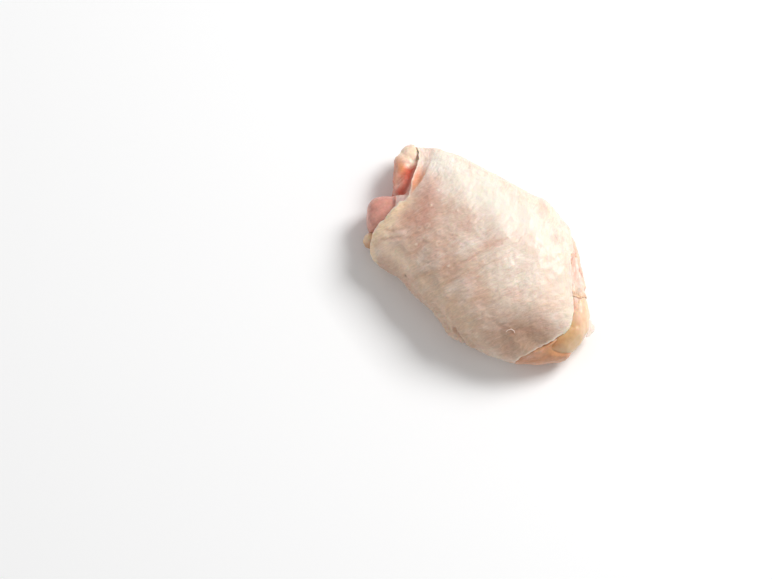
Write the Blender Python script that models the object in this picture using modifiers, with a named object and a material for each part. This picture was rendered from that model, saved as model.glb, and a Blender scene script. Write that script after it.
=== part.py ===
"""Raw chicken thigh, lying skin side up, as four closed solids in metres.

The thigh lies along X, with the knee end at -X and the hip end at +X, and rests
on the plane z = 0. One smooth body shape, given by cross-sections, carries
everything: the skin is a sheet on its outside, and the meat is the same shape
a skin's thickness further in, which swells to full size past the skin's cut
edges. The fat lobes are half sunk in sockets in the meat.
"""
import math

import bmesh
import bpy
import numpy as np

MM = 0.001

# Driving dimensions in millimetres, seen in the thigh's own frame
# Each section: x, near edge y, far edge y, widest level, underside, top
SECTIONS = (
    (-65.0, 16.0, 21.6, 10.5, 7.2, 13.8),
    (-63.0, 13.4, 24.2, 11.0, 6.6, 15.8),
    (-61.0, 11.8, 26.0, 11.0, 6.0, 17.2),
    (-59.0, 10.0, 27.5, 11.0, 5.2, 18.4),
    (-56.0, 5.0, 29.4, 11.5, 4.0, 20.3),
    (-53.0, -4.0, 31.0, 12.0, 2.5, 22.8),
    (-50.5, -13.0, 32.3, 12.5, 1.0, 25.5),
    (-48.0, -23.5, 33.2, 12.5, 0.0, 28.3),
    (-45.0, -28.3, 34.0, 12.5, -1.0, 30.5),
    (-40.0, -30.0, 35.0, 13.0, -1.5, 32.7),
    (-25.0, -30.6, 37.2, 14.5, -1.5, 36.0),
    (-10.0, -34.0, 38.8, 15.5, -1.5, 38.5),
    (2.0, -35.6, 40.0, 15.5, -1.5, 39.5),
    (11.0, -39.2, 40.8, 15.5, -1.5, 39.5),
    (20.0, -37.3, 39.0, 15.0, -1.5, 39.0),
    (34.0, -34.8, 33.5, 14.5, -1.5, 36.5),
    (43.0, -32.0, 26.1, 14.0, -1.0, 33.0),
    (50.5, -26.8, 19.2, 13.0, 0.0, 28.5),
    (56.0, -22.0, 13.5, 12.0, 1.5, 23.8),
    (60.0, -18.0, 8.5, 11.0, 3.5, 18.5),
    (62.6, -12.6, 1.5, 10.5, 6.0, 14.5),
)
KNEE_POLE = (-66.4, 18.8, 10.5)
HIP_POLE = (63.7, -5.0, 10.0)
# The middle of the finished thigh's box, put over the origin
PLAN_CENTRE = (0.5, 1.0, 0.0)
TOP_ROUNDNESS = 2.3
UNDERSIDE_ROUNDNESS = 2.6

# The skin's cut edges: angle round the body from its top, in degrees, and x
KNEE_CUT = (
    (-150, -38.5), (-120, -41), (-90, -44), (-72, -46.8), (-50, -47.8), (-40, -47.2), (-22, -46.0),
    (-11, -45.2), (-2, -43.8), (5, -47.0), (14, -50.4), (28, -54.2), (45, -57.0),
    (58, -59.4), (74, -62.4), (90, -63.8), (104, -61.0), (120, -54.0), (150, -44),
)
HIP_CUT = (
    (-150, 39.5), (-120, 42), (-90, 44.2), (-70, 47.4), (-47, 52), (-27, 54.6), (-4, 56.8),
    (9, 55.3), (22, 51.9), (28, 48.3), (37, 43.2), (43, 38.9), (56, 37.2), (66, 32.4),
    (78, 28.8), (95, 27.4), (120, 27), (150, 28),
)
# How far round each side's hem is tucked under the thigh: x, and angle from the top
NEAR_HEM = ((-45, 143), (-25, 149), (-6, 144), (8, 127), (20, 122), (32, 128), (42, 142))
FAR_HEM = ((-50, 141), (-30, 150), (-5, 145), (15, 151), (34, 143))
# The angle at which a hem's x is read
HEM_ANGLE = 145
SKIN_THICKNESS = 1.9
GAP = 0.7

# The knee end's cuff: between a ridge, given as angle and x, and its cut rim the
# skin is drawn in, most sharply at the ridge
RIDGE = ((0, -42.5), (12, -42.8), (28, -45.0), (45, -47.2), (95, -47.5))
CUFF_HOLLOW = 2.6
CUFF_CRISPNESS = 0.7
# The band's widths, and the angles on either side, over which the hollow comes and goes
CUFF_WIDTHS = (1.0, 7.0)
CUFF_NEAR_ANGLES = (0.0, 12.0)
CUFF_FAR_ANGLES = (70.0, 95.0)
# A shallow hollow in the hip end's near shoulder: its place, radius and depth
SHOULDER_HOLLOW = (41.0, -19.0, 28.0)
SHOULDER_RADIUS = 11.0
SHOULDER_DEPTH = 1.8

# Slow unevenness of the soft surface: its height, its wave lengths along X in
# millimetres and round the body in degrees, and how the waves lean and twist
LUMP_HEIGHT = 0.45
LUMP_LENGTH = 31.0
LUMP_ANGLE = 47.0
LUMP_LEAN = 0.6
LUMP_TWIST = 2.1
# The angles over which it dies away towards the underside
LUMP_FADE = (95.0, 135.0)

# How the meat swells to the body's full size: in millimetres past the hip cut,
# and in degrees past the hems
HIP_SWELL = (3.2, 6.0)
HEM_SWELL = (6.0, 15.0)
# The knee end of the meat lies a little deeper, clear of the cuff
KNEE_HOLLOW = 2.6
KNEE_HOLLOW_RANGE = (-49.0, -38.0)
# Its tip is drawn back into the hood, over this range, and is never deeper than this
# share of the body's half width
TIP_DRAWN_BACK = 3.0
TIP_RANGE = (-66.4, -50.0)
DEEPEST_SHARE = 0.6

# Lobes: centre, half sizes, turn about Z in degrees, squareness (2 is round) and how
# far both ends bend aside
MUSCLE_LOBE = ((-46.6, -7.0, 12.0), (13.0, 9.4, 10.8), 34.0, 2.5, 0.0)
END_FOLD = ((-54.0, 12.2, 10.8), (12.2, 5.8, 9.2), 126.0, 2.6, 0.0)
KNEE_FACE = ((-44.4, -0.8, 12.4), (25.5, 8.6, 11.2), 107.0, 2.4, 0.0)
HIP_FAT = ((57.3, -4.0, 11.6), (21.0, 6.8, 9.6), 88.0, 2.2, 10.5)
KNEE_FAT = ((-47.6, -22.2, 9.5), (5.0, 4.0, 6.2), 30.0, 2.0, 0.0)

# How finely each surface is divided
FINE_ANGLES = 361
SKIN_ROWS = 32
SKIN_COLUMNS = 48
# Above 1, the skin's rows lie closer together towards the knee end
ROW_CROWDING = 1.35
MEAT_SEGMENTS = 52
MEAT_RINGS = 34
LOBE_SEGMENTS = 26
LOBE_RINGS = 14


def smooth_curve(knots):
    """A smooth curve through (input, output) knots, flat past its ends."""
    places, values = np.array(knots, float).T
    slopes = np.gradient(values, places)

    def read(place):
        place = np.clip(place, places[0], places[-1])
        left = np.clip(np.searchsorted(places, place) - 1, 0, len(places) - 2)
        step = places[left + 1] - places[left]
        t = (place - places[left]) / step
        keep = (1 + 2 * t) * (1 - t) ** 2
        rise = t * t * (3 - 2 * t)
        leave = t * (1 - t) ** 2 * step
        arrive = t * t * (t - 1) * step
        start, end = values[left], values[left + 1]
        return keep * start + rise * end + leave * slopes[left] + arrive * slopes[left + 1]

    return read


def section_curve(pick, at_knee, at_hip):
    """A smooth curve along X through one measure of every section."""
    knots = [(KNEE_POLE[0], at_knee)]
    knots += [(section[0], pick(*section[1:])) for section in SECTIONS]
    knots += [(HIP_POLE[0], at_hip)]
    return smooth_curve(knots)


# Sizes run as squares, so that both ends close round
middle = section_curve(lambda near, far, wide, low, top: (near + far) / 2, KNEE_POLE[1], HIP_POLE[1])
level = section_curve(lambda near, far, wide, low, top: wide, KNEE_POLE[2], HIP_POLE[2])
half_width_squared = section_curve(lambda near, far, wide, low, top: ((far - near) / 2) ** 2, 0, 0)
rise_squared = section_curve(lambda near, far, wide, low, top: (top - wide) ** 2, 0, 0)
drop_squared = section_curve(lambda near, far, wide, low, top: (wide - low) ** 2, 0, 0)
knee_cut = smooth_curve(KNEE_CUT)
hip_cut = smooth_curve(HIP_CUT)
near_hem = smooth_curve(NEAR_HEM)
far_hem = smooth_curve(FAR_HEM)
ridge = smooth_curve(RIDGE)


def in_metres(points):
    """Points in the thigh's millimetres as places in metres, over the origin."""
    return (np.asarray(points) - PLAN_CENTRE) * MM


def smooth_step(value, start, end):
    """0 below start, 1 above end, and a smooth ramp between them."""
    t = np.clip((value - start) / (end - start), 0, 1)
    return t * t * (3 - 2 * t)


def on_body(x, angle):
    """Points of the body's surface, at x and at an angle in degrees from the top."""
    x = np.clip(x, KNEE_POLE[0], HIP_POLE[0])
    turn = np.radians(angle)
    side, up = np.sin(turn), np.cos(turn)
    power = np.where(up > 0, 2 / TOP_ROUNDNESS, 2 / UNDERSIDE_ROUNDNESS)
    half_width = np.sqrt(np.maximum(half_width_squared(x), 0))
    half_height = np.sqrt(np.maximum(np.where(up > 0, rise_squared(x), drop_squared(x)), 0))
    y = middle(x) + half_width * np.sign(side) * np.abs(side) ** power
    z = level(x) + half_height * np.sign(up) * np.abs(up) ** power
    return np.stack([x + 0 * y, y, np.maximum(z, 0)], axis=-1)


def hollows(x, angle):
    """How far the cuff and the shoulder are drawn in, in millimetres."""
    width = np.maximum(ridge(angle) - knee_cut(angle), CUFF_WIDTHS[0])
    across = np.clip((ridge(angle) - x) / width, 0, 1)
    cuff = np.sin(math.pi * across ** CUFF_CRISPNESS) * smooth_step(width, *CUFF_WIDTHS)
    cuff = cuff * smooth_step(angle, *CUFF_NEAR_ANGLES) * (1 - smooth_step(angle, *CUFF_FAR_ANGLES))
    away = np.linalg.norm(on_body(x, angle) - SHOULDER_HOLLOW, axis=-1)
    return CUFF_HOLLOW * cuff + SHOULDER_DEPTH * np.exp(-(away / SHOULDER_RADIUS) ** 2)


def relief(x, angle):
    """How far the soft surface stands above the smooth body, in millimetres."""
    waves = np.sin(2 * math.pi * x / LUMP_LENGTH + np.radians(angle) * LUMP_TWIST)
    waves = waves * np.sin(2 * math.pi * (angle + LUMP_LEAN * x) / LUMP_ANGLE)
    waves = waves * (1 - smooth_step(np.abs(angle), *LUMP_FADE))
    return LUMP_HEIGHT * waves - hollows(x, angle)


def meat_depth(x, angle):
    """How deep the meat's surface lies under the body's, in millimetres."""
    past_hip = smooth_step(x - hip_cut(angle), *HIP_SWELL)
    hem = np.where(angle < 0, near_hem(x), far_hem(x))
    past_hem = smooth_step(np.abs(angle) - hem, *HEM_SWELL)
    near_knee = 1 - smooth_step(x, *KNEE_HOLLOW_RANGE)
    cover = (SKIN_THICKNESS + GAP) * (1 - np.maximum(past_hip, past_hem))
    deepest = DEEPEST_SHARE * np.sqrt(np.maximum(half_width_squared(x), 0))
    return np.minimum(cover + KNEE_HOLLOW * near_knee, deepest)


def even_angles(x_of_angle, start, end, count):
    """Angles that cut the body's line from start to end in equal lengths."""
    fine = np.linspace(start, end, FINE_ANGLES)
    points = on_body(x_of_angle(fine), fine)
    lengths = np.linalg.norm(np.diff(points, axis=0), axis=1)
    travelled = np.concatenate([[0], np.cumsum(lengths)])
    return np.interp(np.linspace(0, travelled[-1], count), travelled, fine)


def make_object(name, bm, collection, material=None):
    """An object in the collection from a bmesh, in the one material."""
    mesh = bpy.data.meshes.new(name)
    bm.to_mesh(mesh)
    bm.free()
    mesh.shade_smooth()
    if material is not None:
        mesh.materials.append(material)
    made = bpy.data.objects.new(name, mesh)
    collection.objects.link(made)
    return made


def make_material(name, colour, roughness):
    """A material in one plain colour."""
    made = bpy.data.materials.new(name)
    made.use_nodes = True
    shader = made.node_tree.nodes["Principled BSDF"]
    shader.inputs["Base Color"].default_value = (*colour, 1)
    shader.inputs["Roughness"].default_value = roughness
    shader.inputs["Metallic"].default_value = 0.0
    return made


def raise_surface(bm, heights):
    """Moves each vertex along its normal by its height in millimetres."""
    bm.normal_update()
    moved = [vertex.co + vertex.normal * height * MM for vertex, height in zip(bm.verts, heights)]
    for vertex, place in zip(bm.verts, moved):
        vertex.co = place
        vertex.co.z = max(vertex.co.z, 0)


def build_skin(collection):
    """The skin: a grid laid on the body between its cut edges and hems."""
    bm = bmesh.new()
    bmesh.ops.create_grid(bm, x_segments=SKIN_ROWS, y_segments=SKIN_COLUMNS, size=0.5)
    row_of = [round((vertex.co.x + 0.5) * SKIN_ROWS) for vertex in bm.verts]
    column_of = [round((vertex.co.y + 0.5) * SKIN_COLUMNS) for vertex in bm.verts]
    places = {}
    for row in range(SKIN_ROWS + 1):
        share = (row / SKIN_ROWS) ** ROW_CROWDING

        def x_of_angle(angle):
            return knee_cut(angle) * (1 - share) + hip_cut(angle) * share

        start = -near_hem(x_of_angle(-HEM_ANGLE))
        end = far_hem(x_of_angle(HEM_ANGLE))
        angles = even_angles(x_of_angle, start, end, SKIN_COLUMNS + 1)
        for column, angle in enumerate(angles):
            places[row, column] = (float(x_of_angle(angle)), float(angle))
    heights = []
    for vertex, row, column in zip(bm.verts, row_of, column_of):
        x, angle = places[row, column]
        vertex.co = in_metres(on_body(x, angle))
        heights.append(float(relief(x, angle)))
    raise_surface(bm, heights)
    skin = make_object("skin", bm, collection, make_material("skin", (0.80, 0.66, 0.55), 0.45))
    shell = skin.modifiers.new("thickness", "SOLIDIFY")
    shell.thickness = SKIN_THICKNESS * MM
    shell.offset = -1
    return skin


def build_lobe(name, shape, collection, material=None, grow=0.0):
    """A sphere made squarer, drawn out, bent and turned, larger by grow on every side."""
    centre, half_sizes, turn, squareness, bend = shape
    cosine, sine = math.cos(math.radians(turn)), math.sin(math.radians(turn))
    bm = bmesh.new()
    bmesh.ops.create_uvsphere(bm, u_segments=LOBE_SEGMENTS, v_segments=LOBE_RINGS, radius=1)
    for vertex in bm.verts:
        reach = sum(abs(part) ** squareness for part in vertex.co) ** (-1 / squareness)
        along, across, up = (part * reach * (size + grow) for part, size in zip(vertex.co, half_sizes))
        across += bend * (along / half_sizes[0]) ** 2
        x = centre[0] + along * cosine - across * sine
        y = centre[1] + along * sine + across * cosine
        vertex.co = in_metres((x, y, centre[2] + up))
    return make_object(name, bm, collection, material)


def build_meat(collection, cutters):
    """The meat: a sphere drawn out to the body's shape, with its lobes and sockets."""
    bm = bmesh.new()
    bmesh.ops.create_uvsphere(bm, u_segments=MEAT_SEGMENTS, v_segments=MEAT_RINGS, radius=1)
    length = HIP_POLE[0] - KNEE_POLE[0]
    heights = []
    for vertex in bm.verts:
        x = KNEE_POLE[0] + length * (vertex.co.z + 1) / 2
        angle = math.degrees(math.atan2(vertex.co.y, vertex.co.x))
        place = on_body(x, angle)
        place[0] += TIP_DRAWN_BACK * (1 - smooth_step(x, *TIP_RANGE))
        vertex.co = in_metres(place)
        heights.append(float(relief(x, angle) - meat_depth(x, angle)))
    bmesh.ops.reverse_faces(bm, faces=bm.faces)
    raise_surface(bm, heights)
    meat = make_object("meat", bm, collection, make_material("meat", (0.62, 0.30, 0.24), 0.35))
    joined = {"knee_face": KNEE_FACE, "muscle_lobe": MUSCLE_LOBE, "end_fold": END_FOLD}
    cut = {"hip_fat_socket": HIP_FAT, "knee_fat_socket": KNEE_FAT}
    for operation, shapes, grow in (("UNION", joined, 0.0), ("DIFFERENCE", cut, GAP)):
        for name, shape in shapes.items():
            tool = build_lobe(name, shape, cutters, grow=grow)
            tool.hide_render = True
            tool.display_type = "WIRE"
            change = meat.modifiers.new(name, "BOOLEAN")
            change.operation = operation
            change.object = tool
    return meat


def build_fat(collection):
    """The fat lobes at the hip end and at the knee end's near corner."""
    material = make_material("fat", (0.78, 0.62, 0.42), 0.4)
    build_lobe("hip_fat", HIP_FAT, collection, material)
    build_lobe("knee_fat", KNEE_FAT, collection, material)


for old in list(bpy.data.objects):
    bpy.data.objects.remove(old, do_unlink=True)
thigh = bpy.data.collections.new("chicken_thigh")
cutters = bpy.data.collections.new("cutters")
bpy.context.scene.collection.children.link(thigh)
bpy.context.scene.collection.children.link(cutters)
build_skin(thigh)
build_meat(thigh, cutters)
build_fat(thigh)
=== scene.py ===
"""The looks of a raw chicken thigh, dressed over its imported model, in metres with +Z up."""
import math

import bmesh
import bpy
import numpy as np
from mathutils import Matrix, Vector, noise
from mathutils.bvhtree import BVHTree


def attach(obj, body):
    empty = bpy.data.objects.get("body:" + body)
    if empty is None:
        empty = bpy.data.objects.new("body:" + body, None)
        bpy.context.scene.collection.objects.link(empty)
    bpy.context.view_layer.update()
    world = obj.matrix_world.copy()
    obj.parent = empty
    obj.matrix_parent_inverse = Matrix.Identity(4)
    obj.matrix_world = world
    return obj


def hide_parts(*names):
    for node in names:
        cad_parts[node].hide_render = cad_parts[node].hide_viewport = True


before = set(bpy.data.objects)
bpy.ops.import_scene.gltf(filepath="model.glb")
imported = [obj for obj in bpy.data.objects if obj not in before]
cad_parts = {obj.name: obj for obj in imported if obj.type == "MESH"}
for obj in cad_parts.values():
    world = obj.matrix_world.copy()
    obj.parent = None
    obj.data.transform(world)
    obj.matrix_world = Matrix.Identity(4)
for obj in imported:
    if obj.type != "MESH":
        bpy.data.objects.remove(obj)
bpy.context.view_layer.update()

# Meat
# The thigh's raw muscle, moist and pink under its thin clear membranes. It bulges out of
# the cut at the knee end as one round muscle beside a torn red fold, and at the hip end
# it is trimmed back in soft steps.
MM = 0.001
# Cross-sections of the whole thigh: x, near edge y, far edge y, widest level, underside, top
SECTIONS = (
    (-65, 16, 21.6, 10.5, 7.2, 13.8),
    (-63, 13.4, 24.2, 11, 6.6, 15.8),
    (-61, 11.8, 26, 11, 6, 17.2),
    (-59, 10, 27.5, 11, 5.2, 18.4),
    (-56, 5, 29.4, 11.5, 4, 20.3),
    (-53, -4, 31, 12, 2.5, 22.8),
    (-50.5, -13, 32.3, 12.5, 1, 25.5),
    (-48, -23.5, 33.2, 12.5, 0, 28.3),
    (-45, -28.3, 34, 12.5, -1, 30.5),
    (-40, -30, 35, 13, -1.5, 32.7),
    (-25, -30.6, 37.2, 14.5, -1.5, 36),
    (-10, -34, 38.8, 15.5, -1.5, 38.5),
    (2, -35.6, 40, 15.5, -1.5, 39.5),
    (11, -39.2, 40.8, 15.5, -1.5, 39.5),
    (20, -37.3, 39, 15, -1.5, 39),
    (34, -34.8, 33.5, 14.5, -1.5, 36.5),
    (43, -32, 26.1, 14, -1, 33),
    (50.5, -26.8, 19.2, 13, 0, 28.5),
    (56, -22, 13.5, 12, 1.5, 23.8),
    (60, -18, 8.5, 11, 3.5, 18.5),
    (62.6, -12.6, 1.5, 10.5, 6, 14.5),
)
KNEE_POLE = (-66.4, 18.8, 10.5)
HIP_POLE = (63.7, -5, 10)
PLAN_CENTRE = (0.5, 1, 0)
TOP_ROUNDNESS, UNDERSIDE_ROUNDNESS = 2.3, 2.6
# Where the skin over the meat ends: angle round the body from its top in degrees, and x
KNEE_CUT = (
    (-150, -38.5), (-120, -41), (-90, -44), (-72, -46.8), (-50, -47.8), (-40, -47.2), (-22, -46),
    (-11, -45.2), (-2, -43.8), (5, -47), (14, -50.4), (28, -54.2), (45, -57),
    (58, -59.4), (74, -62.4), (90, -63.8), (104, -61), (120, -54), (150, -44),
)
HIP_CUT = (
    (-150, 39.5), (-120, 42), (-90, 44.2), (-70, 47.4), (-47, 52), (-27, 54.6), (-4, 56.8),
    (9, 55.3), (22, 51.9), (28, 48.3), (37, 42.6), (43, 37.8), (56, 35.6), (66, 30.6),
    (78, 27.6), (95, 26.8), (120, 27), (150, 28),
)
NEAR_HEM = ((-45, 143), (-25, 149), (-6, 144), (8, 127), (20, 122), (32, 128), (42, 142))
FAR_HEM = ((-50, 141), (-30, 150), (-5, 145), (15, 151), (34, 143))
# Lobes: centre, half sizes, turn about Z in degrees, squareness (2 is round) and how far
# both ends bend aside
MUSCLE_LOBE = ((-46.1, -7.7, 12), (13, 9.4, 10.8), 34, 3.3, 0)
END_FOLD = ((-54, 12.2, 10.8), (12.2, 5.8, 9.2), 126, 2.7, 0)
KNEE_FACE = ((-44.4, -0.8, 12.4), (25.5, 8.6, 11.2), 107, 2.4, 0)
HOOD_FILL = ((-57, 21.6, 11.4), (7.3, 6.4, 7.4), 112, 2.2, 0)
# The knee end's cuff: the skin is drawn in between a ridge and its cut rim
RIDGE = ((0, -42.5), (12, -42.8), (28, -45), (45, -47.2), (95, -47.5))
CUFF_HOLLOW, CUFF_CRISPNESS = 2.3, 0.9
CUFF_WIDTHS = (1, 7)
CUFF_NEAR_ANGLES = (0, 12)
CUFF_FAR_ANGLES = (70, 95)
CUFF_SHALLOW_ANGLES = (15, 45)
CUFF_SHALLOW_SHARE = 0.45
# A shallow hollow in the hip end's near shoulder: place, radius, depth
SHOULDER_HOLLOW, SHOULDER_RADIUS, SHOULDER_DEPTH = (41, -19, 28), 11, 1.8
SKIN_COVER = 2
# The flesh's tip under the hood is drawn back, and is never deeper than a share of its width
TIP_DRAWN_BACK = 2.5
TIP_RANGE = (-66.4, -50)
DEEPEST_SHARE = 0.6
HIP_SWELL = (-1.4, 1.4)
# The flesh swells out less on the far side of the hip end: range of angles and share kept
FAR_HIP_ANGLES = (25, 45)
FAR_HIP_SWELL = 0.3
HEM_SWELL = (6, 15)
KNEE_HOLLOW = 1
KNEE_HOLLOW_RANGE = (-49, -38)
# How far inside the outer form the flesh under the hood stays, at its lip and past it
HOOD_ROOM = (0.25, 2.4)
HOOD_ROOM_RANGE = (-0.5, 3)
HOOD_ANGLES = (30, 150)
SMALLEST_HALF_SIZE = 2.5
MEAT_VOXEL = 0.6
MEAT_SEGMENTS, MEAT_RINGS = 200, 140
LOBE_SEGMENTS, LOBE_RINGS = 64, 40
MEAT_SMOOTHING = 6
# Soft unevenness of the flesh, and its muscle fibres, in millimetres
FLESH_LUMP_SIZE, FLESH_LUMP_HEIGHT = 7, 0.5
FIBRE_LENGTH, FIBRE_WIDTH, FIBRE_HEIGHT = 12, 1.1, 0.16
TORN_SIZE, TORN_HEIGHT = 2.2, 0.3
FIBRE_DIRECTION = (0.35, 0.90, 0.25)
# Grooves between the flesh's parts: path, width, depth
FLESH_GROOVES = (
    (((-46.5, 4.5, 23), (-49.2, 9, 21.5), (-51.5, 13.5, 21), (-54.4, 16.5, 19)), 2, 1.2),
    (((-53, 0, 15), (-51.2, 0.6, 20), (-48.8, 1.2, 22.5), (-45.3, 3.2, 24)), 1.2, 2.6),
    (((-62.5, 16.2, 16), (-58.6, 10.1, 16.5), (-53.9, 4.6, 17.5), (-51.4, 2.6, 19)), 1.3, -0.7),
    (((36, 29.5, 21.5), (39.5, 24.5, 24.5), (44.5, 18.5, 26), (47, 16.5, 25.5)), 1.2, 0.5),
    (((34.2, 29.1, 23), (39.1, 26.3, 23), (42.7, 22.7, 22.5), (45.5, 21.7, 19)), 1, 0.7),
)
# Colours of raw poultry flesh in even light, from pale sinew to torn red muscle, and a darker painted
# shade for the hip end's grooves
FLESH_PINK = "#e3b09c"
FLESH_MAUVE = "#d89c8e"
FLESH_RED = "#dd5f47"
FLESH_DEEP_RED = "#a5361f"
FLESH_ORANGE = "#e8a266"
FLESH_PEACH = "#f3c9ab"
HIP_PINK = "#f3cbbb"
SINEW_WHITE = "#f5e6d8"
FLESH_SALMON = "#db846b"
# Painted shade for the grooves at the hip end
FLESH_GROOVE_SHADE = "#c9826c"
FLESH_BROWN = "#c17d4c"
HOOD_PEACH = "#fadcc4"
# Places on the flesh that have a colour of their own: width and path
FLESH_PLACES = {
    "torn red": (2.3, ((-53.2, 15.2, 20), (-49.2, 8.6, 21.5), (-47.8, 3, 22), (-50, 2.2, 21))),
    "torn orange": (2.3, ((-60.3, 17.4, 16), (-56.6, 12.8, 18.5))),
    "fold top": (2.6, ((-56, 17.6, 18.5), (-58.5, 22.8, 16))),
    "fold edge": (2.2, ((-60.8, 14, 16.5), (-56.5, 8.8, 18.8), (-52.8, 4, 19.5))),
    "fold floor": (1.6, ((-48.8, 3.6, 21.8), (-48, 1.4, 21), (-50.6, 0.8, 19.5))),
    "near hip": (4.5, ((60, -14, 13), (56.5, -19.5, 14.5), (53.5, -23.5, 15.5), (46, -28, 14))),
    "far hip": (4, ((30, 34.5, 17), (35.5, 30.5, 20), (40, 26.5, 22))),
    "sinew": (5, ((46, 15.5, 25), (52.5, 11.5, 22))),
}
UNDER_RUFFLE, UNDER_RUFFLE_RADIUS = (40, 25, 22), 9
KNEE_RANGE = (-48, -38)
HIP_RANGE, HIP_SLANT = (40, 50), 0.7
# The smooth fatty roll at the hip end goes from peach through yellow to brown. The flesh
# sinks away under it, but not right under the skin's rim: angles there, and the rim's width
HIP_FAT = ((56.4, -4, 12.2), (21, 7.4, 10.8), 88, 2.2, 10.5)
ROLL_SINK = 3.4
ROLL_PEACH = "#f0c8a9"
ROLL_YELLOW = "#d9ae7c"
ROLL_BROWN = "#c98f62"
RIM_ANGLES, RIM_STEPS, RIM_WIDTH = (-75, 25), 30, 1.3


def smooth_curve(knots):
    """A smooth curve through (input, output) knots, flat past its ends."""
    places, values = np.array(knots, float).T
    slopes = np.gradient(values, places)

    def read(place):
        place = np.clip(place, places[0], places[-1])
        left = np.clip(np.searchsorted(places, place) - 1, 0, len(places) - 2)
        step = places[left + 1] - places[left]
        t = (place - places[left]) / step
        keep = (1 + 2 * t) * (1 - t) ** 2
        rise = t * t * (3 - 2 * t)
        leave = t * (1 - t) ** 2 * step
        arrive = t * t * (t - 1) * step
        start, end = values[left], values[left + 1]
        return keep * start + rise * end + leave * slopes[left] + arrive * slopes[left + 1]

    return read


def section_curve(values, at_knee=0, at_hip=0):
    """A smooth curve along X through one measure of every section."""
    places = (KNEE_POLE[0], *section_x, HIP_POLE[0])
    return smooth_curve(list(zip(places, (at_knee, *values, at_hip))))


section_x, near, far, wide, low, top = np.array(SECTIONS).T
middle = section_curve((near + far) / 2, KNEE_POLE[1], HIP_POLE[1])
level = section_curve(wide, KNEE_POLE[2], HIP_POLE[2])
half_width_squared = section_curve(((far - near) / 2) ** 2)
rise_squared = section_curve((top - wide) ** 2)
drop_squared = section_curve((wide - low) ** 2)
knee_cut = smooth_curve(KNEE_CUT)
hip_cut = smooth_curve(HIP_CUT)
near_hem = smooth_curve(NEAR_HEM)
far_hem = smooth_curve(FAR_HEM)
ridge = smooth_curve(RIDGE)


def ramp(value, start, end):
    """0 below start, 1 above end, and smooth between them."""
    t = np.clip((value - start) / (end - start), 0, 1)
    return t * t * (3 - 2 * t)


def on_body(x, angle):
    """Points of the thigh's outer form, at x and at an angle in degrees from the top."""
    x = np.clip(x, KNEE_POLE[0], HIP_POLE[0])
    turn = np.radians(angle)
    side, up = np.sin(turn), np.cos(turn)
    power = np.where(up > 0, 2 / TOP_ROUNDNESS, 2 / UNDERSIDE_ROUNDNESS)
    half_width = np.sqrt(np.maximum(half_width_squared(x), 0))
    half_height = np.sqrt(np.maximum(np.where(up > 0, rise_squared(x), drop_squared(x)), 0))
    y = middle(x) + half_width * np.sign(side) * np.abs(side) ** power
    z = level(x) + half_height * np.sign(up) * np.abs(up) ** power
    return np.stack([x + 0 * y, y, np.maximum(z, 0)], axis=-1)


def hollows(x, angle):
    """How far the cuff and the shoulder are drawn in, in millimetres."""
    width = np.maximum(ridge(angle) - knee_cut(angle), CUFF_WIDTHS[0])
    across = np.clip((ridge(angle) - x) / width, 0, 1)
    cuff = np.sin(math.pi * across ** CUFF_CRISPNESS) * ramp(width, *CUFF_WIDTHS)
    cuff = cuff * ramp(angle, *CUFF_NEAR_ANGLES) * (1 - ramp(angle, *CUFF_FAR_ANGLES))
    cuff = cuff * (1 - (1 - CUFF_SHALLOW_SHARE) * ramp(angle, *CUFF_SHALLOW_ANGLES))
    away = np.linalg.norm(on_body(x, angle) - SHOULDER_HOLLOW, axis=-1)
    return CUFF_HOLLOW * cuff + SHOULDER_DEPTH * np.exp(-(away / SHOULDER_RADIUS) ** 2)


def flesh_depth(x, angle):
    """How deep the flesh lies under the thigh's outer form, in millimetres."""
    past_hip = ramp(x - hip_cut(angle), *HIP_SWELL)
    past_hip = past_hip * (1 - (1 - FAR_HIP_SWELL) * ramp(angle, *FAR_HIP_ANGLES))
    hem = np.where(angle < 0, near_hem(x), far_hem(x))
    past_hem = ramp(np.abs(angle) - hem, *HEM_SWELL)
    near_knee = 1 - ramp(x, *KNEE_HOLLOW_RANGE)
    depth = SKIN_COVER * (1 - np.maximum(past_hip, past_hem)) + KNEE_HOLLOW * near_knee
    deepest = DEEPEST_SHARE * np.sqrt(np.maximum(half_width_squared(x), 0))
    return np.minimum(depth, deepest) + hollows(x, angle)


def kept_under_hood(points):
    """The points, drawn back inside the skin where they are under its hood at the knee end."""
    x = points[:, 0]
    out, up = points[:, 1] - middle(x), points[:, 2] - level(x)
    width = np.sqrt(np.maximum(half_width_squared(x), SMALLEST_HALF_SIZE ** 2))
    height = np.where(up > 0, rise_squared(x), drop_squared(x))
    height = np.sqrt(np.maximum(height, SMALLEST_HALF_SIZE ** 2))
    power = np.where(up > 0, TOP_ROUNDNESS, UNDERSIDE_ROUNDNESS)
    across, above = np.abs(out / width) ** power, np.abs(up / height) ** power
    angle = np.degrees(np.arctan2(np.sign(out) * np.sqrt(across), np.sign(up) * np.sqrt(above)))
    past_lip = x - knee_cut(angle)
    hooded = (past_lip > HOOD_ROOM_RANGE[0]) & (x < RIDGE[0][1])
    hooded = hooded & (angle > HOOD_ANGLES[0]) & (angle < HOOD_ANGLES[1])
    depth = HOOD_ROOM[0] + (HOOD_ROOM[1] - HOOD_ROOM[0]) * ramp(past_lip, *HOOD_ROOM_RANGE)
    room = 1 - depth / np.minimum(width, height)
    shrink = np.where(hooded, np.minimum(room / np.maximum((across + above) ** (1 / power), room), 1), 1)
    return np.stack([x, middle(x) + out * shrink, level(x) + up * shrink], axis=-1)


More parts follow.
